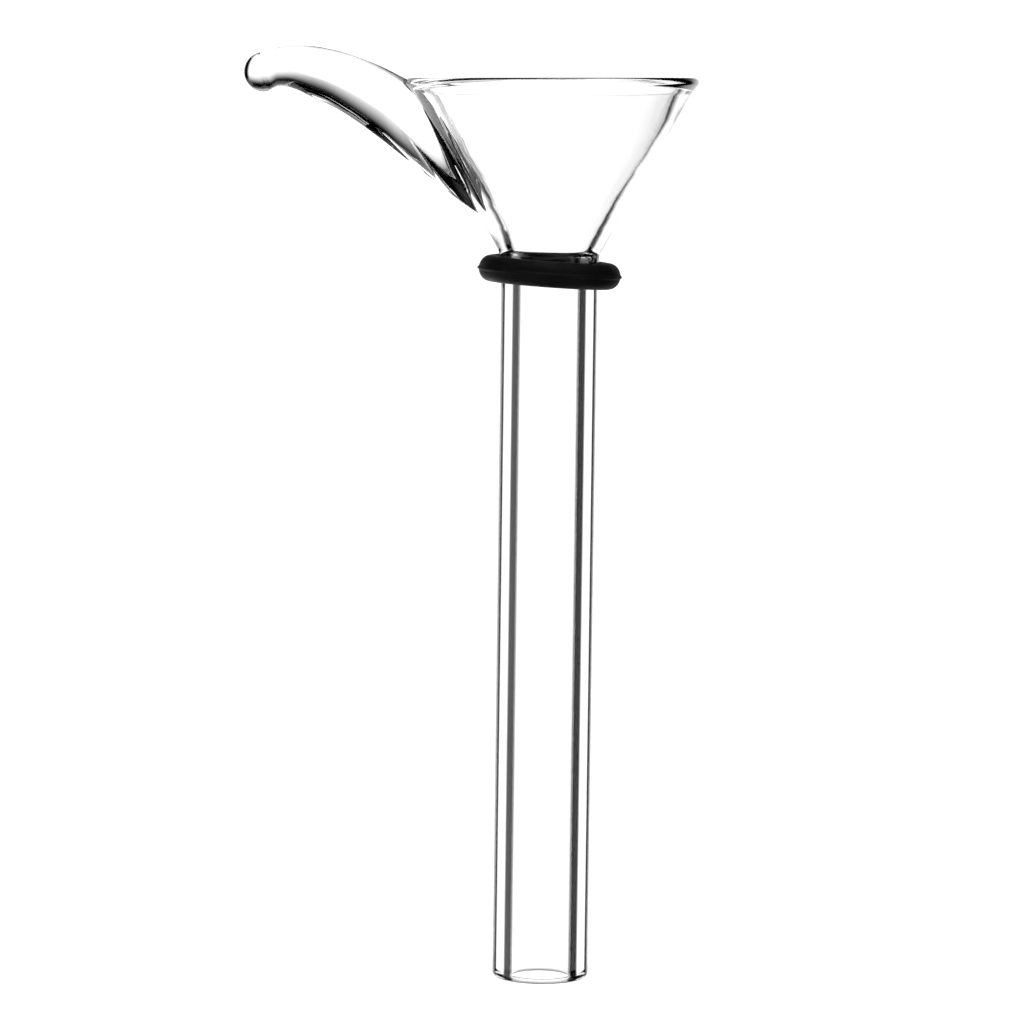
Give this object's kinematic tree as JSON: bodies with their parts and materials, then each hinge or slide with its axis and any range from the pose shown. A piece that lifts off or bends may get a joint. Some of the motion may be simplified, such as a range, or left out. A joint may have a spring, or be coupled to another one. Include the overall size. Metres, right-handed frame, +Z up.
{
  "type": "glass funnel slide",
  "caption": "Clear glass funnel slide: a small open cone on a straight thick-walled stem tube, with a curved solid-glass thumb horn and a black rubber ring on the stem.",
  "frame": {"origin": "on the stem's axis, level with the underside of the rubber ring, which is as deep as the stem goes into a socket", "axes": "-Z down the stem towards its open foot, +Z up to the cone's lip, -X towards the thumb horn"},
  "size_m": [0.0426, 0.0274, 0.087],
  "materials": {
    "glass": "clear, fire-polished",
    "rubber": "satin black"
  },
  "bodies": {
    "glass": {"funnel_cone": "glass", "stem_tube": "glass", "handle": "glass"},
    "ring": {"o_ring": "rubber"}
  },
  "joints": [
    {"name": "ring_slide", "type": "slide", "parent": "glass", "child": "ring", "axis": [0, 0, -1], "range_m": [0, 0.072]}
  ]
}
